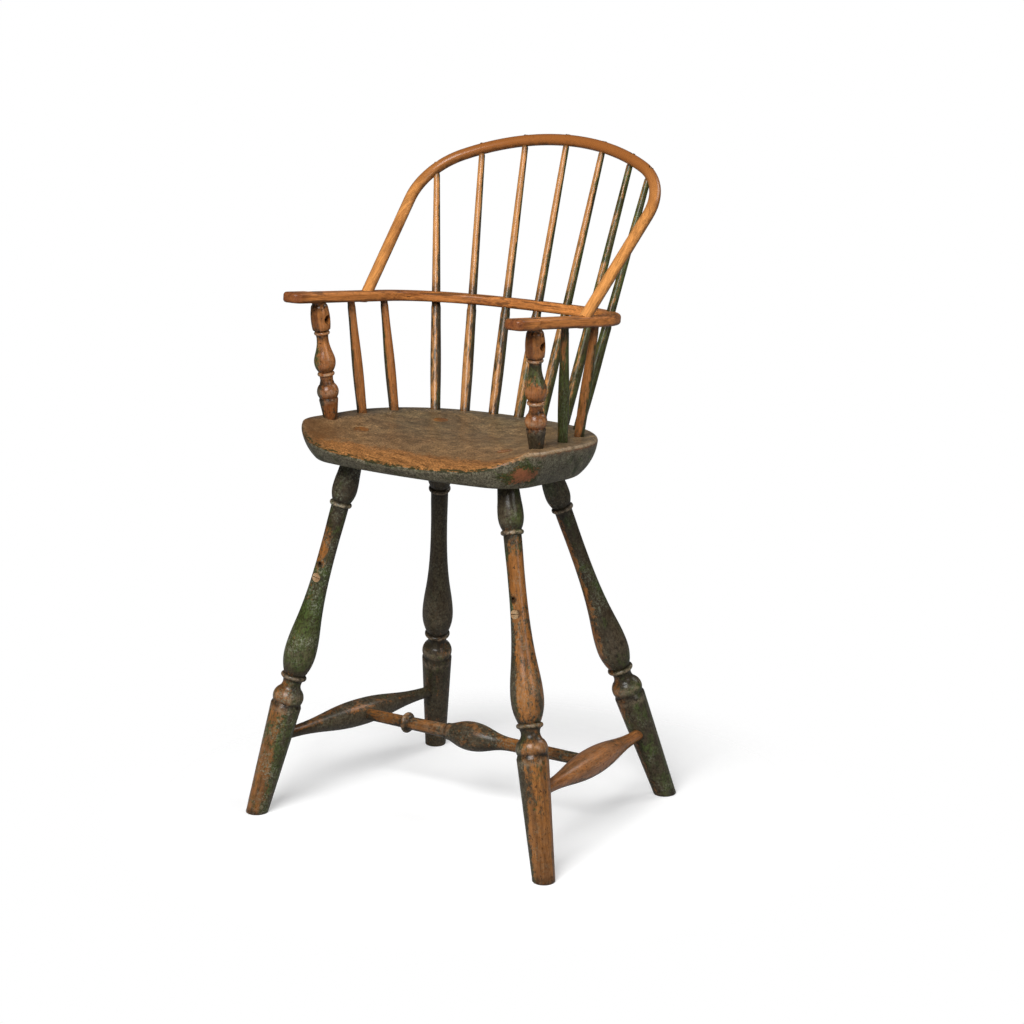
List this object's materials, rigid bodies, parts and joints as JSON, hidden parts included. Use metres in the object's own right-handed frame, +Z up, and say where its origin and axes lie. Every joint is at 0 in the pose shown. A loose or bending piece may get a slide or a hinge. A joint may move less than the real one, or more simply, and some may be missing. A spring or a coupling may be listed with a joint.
{
  "type": "windsor high chair",
  "caption": "Windsor high chair with a raked bent bow, bent arm rail, turned posts bored for a retaining bar, dished seat and splayed turned legs joined by stretchers.",
  "frame": {"origin": "on the floor under the middle of the chair", "axes": "+Z up, -Y the way the sitter faces, +X to the right as seen from the front"},
  "size_m": [0.5187, 0.4585, 0.9391],
  "materials": {
    "seat_plank": "worn satin",
    "worn_paint": "old paint worn to wood",
    "arm_wood": "worn satin",
    "post_wood": "worn satin",
    "spindle_wood": "old paint worn to wood",
    "end_grain": "matt"
  },
  "bodies": {
    "root": {"seat": "seat_plank", "leg_front_left": "worn_paint", "leg_front_right": "worn_paint", "leg_rear_left": "worn_paint", "leg_rear_right": "worn_paint", "side_stretcher_left": "worn_paint", "side_stretcher_right": "worn_paint", "medial_stretcher": "worn_paint", "arm_rail": "arm_wood", "hand_block_left": "arm_wood", "hand_block_right": "arm_wood", "bow": "arm_wood", "arm_post_left": "post_wood", "arm_post_right": "post_wood", "long_spindle_1": "spindle_wood", "long_spindle_2": "spindle_wood", "long_spindle_3": "spindle_wood", "long_spindle_4": "spindle_wood", "long_spindle_5": "spindle_wood", "long_spindle_6": "spindle_wood", "long_spindle_7": "spindle_wood", "short_spindle_front_left": "spindle_wood", "short_spindle_front_right": "spindle_wood", "short_spindle_rear_left": "spindle_wood", "short_spindle_rear_right": "spindle_wood", "leg_wedges": "end_grain", "arm_post_wedges": "end_grain", "bow_wedges": "end_grain", "spindle_wedges": "end_grain", "footrest_pegs": "end_grain"}
  },
  "joints": []
}
